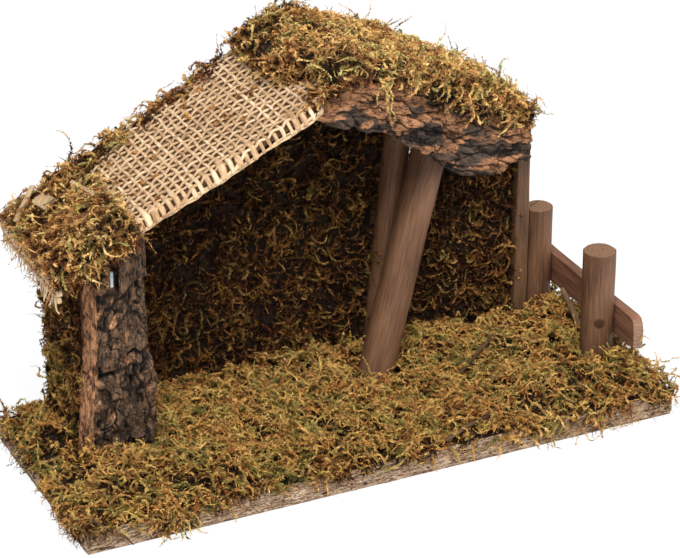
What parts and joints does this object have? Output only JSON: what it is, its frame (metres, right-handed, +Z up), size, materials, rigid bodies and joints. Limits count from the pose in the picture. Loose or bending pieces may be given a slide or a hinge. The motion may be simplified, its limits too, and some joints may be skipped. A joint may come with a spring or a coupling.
{
  "type": "nativity stable",
  "caption": "Small table-top stable on a base board, with a gable roof, open front, leaning poles, a side fence, burlap on one roof slope and dried moss all round.",
  "frame": {"origin": "middle of the flat underside of the base board", "axes": "+X along the front of the base board towards the fence, +Y from the open front to the rear wall, +Z up"},
  "size_m": [0.3, 0.1184, 0.1981],
  "materials": {
    "chipboard": "raw pressed chips, rough sawn edges",
    "hardboard": "brown pressed fibre, matte",
    "bark": "deeply furrowed dry bark with cut faces of bare orange wood",
    "grey_bark": "weathered grey bark",
    "dark_stick": "dark brown stain, matte",
    "stained_pole": "brown stain over straight grain, matte",
    "fence_board": "brown stain, lighter cut edges, matte",
    "nail_steel": "plain steel wire nail",
    "hot_glue": "cloudy set glue",
    "burlap": "open plain weave of coarse jute",
    "moss": "dried curly moss, olive to ochre",
    "twig": "dry thin twig",
    "wood_chip": "split wood sliver"
  },
  "bodies": {
    "root": {"base_board": "chipboard", "rear_wall_left": "hardboard", "rear_wall_right": "hardboard", "left_wall": "hardboard", "left_roof_board": "hardboard", "right_roof_board": "hardboard", "bark_post": "bark", "post_bark_plate": "grey_bark", "bark_fascia": "bark", "right_post": "dark_stick", "left_leaning_pole": "stained_pole", "right_leaning_pole": "stained_pole", "fence_post_front": "stained_pole", "fence_post_rear": "stained_pole", "fence_board": "fence_board", "base_nails": "nail_steel", "fence_nails": "nail_steel", "post_glue": "hot_glue", "pole_glue": "hot_glue", "wall_glue": "hot_glue", "burlap_cover": "burlap", "floor_moss": "moss", "ridge_moss": "moss", "right_roof_moss": "moss", "left_eave_moss": "moss", "rear_wall_moss_left": "moss", "rear_wall_moss_right": "moss", "left_wall_moss": "moss", "light_twig": "twig", "dark_twig": "twig", "edge_twig": "twig", "fence_twig": "twig", "eave_chips": "wood_chip"}
  },
  "joints": []
}
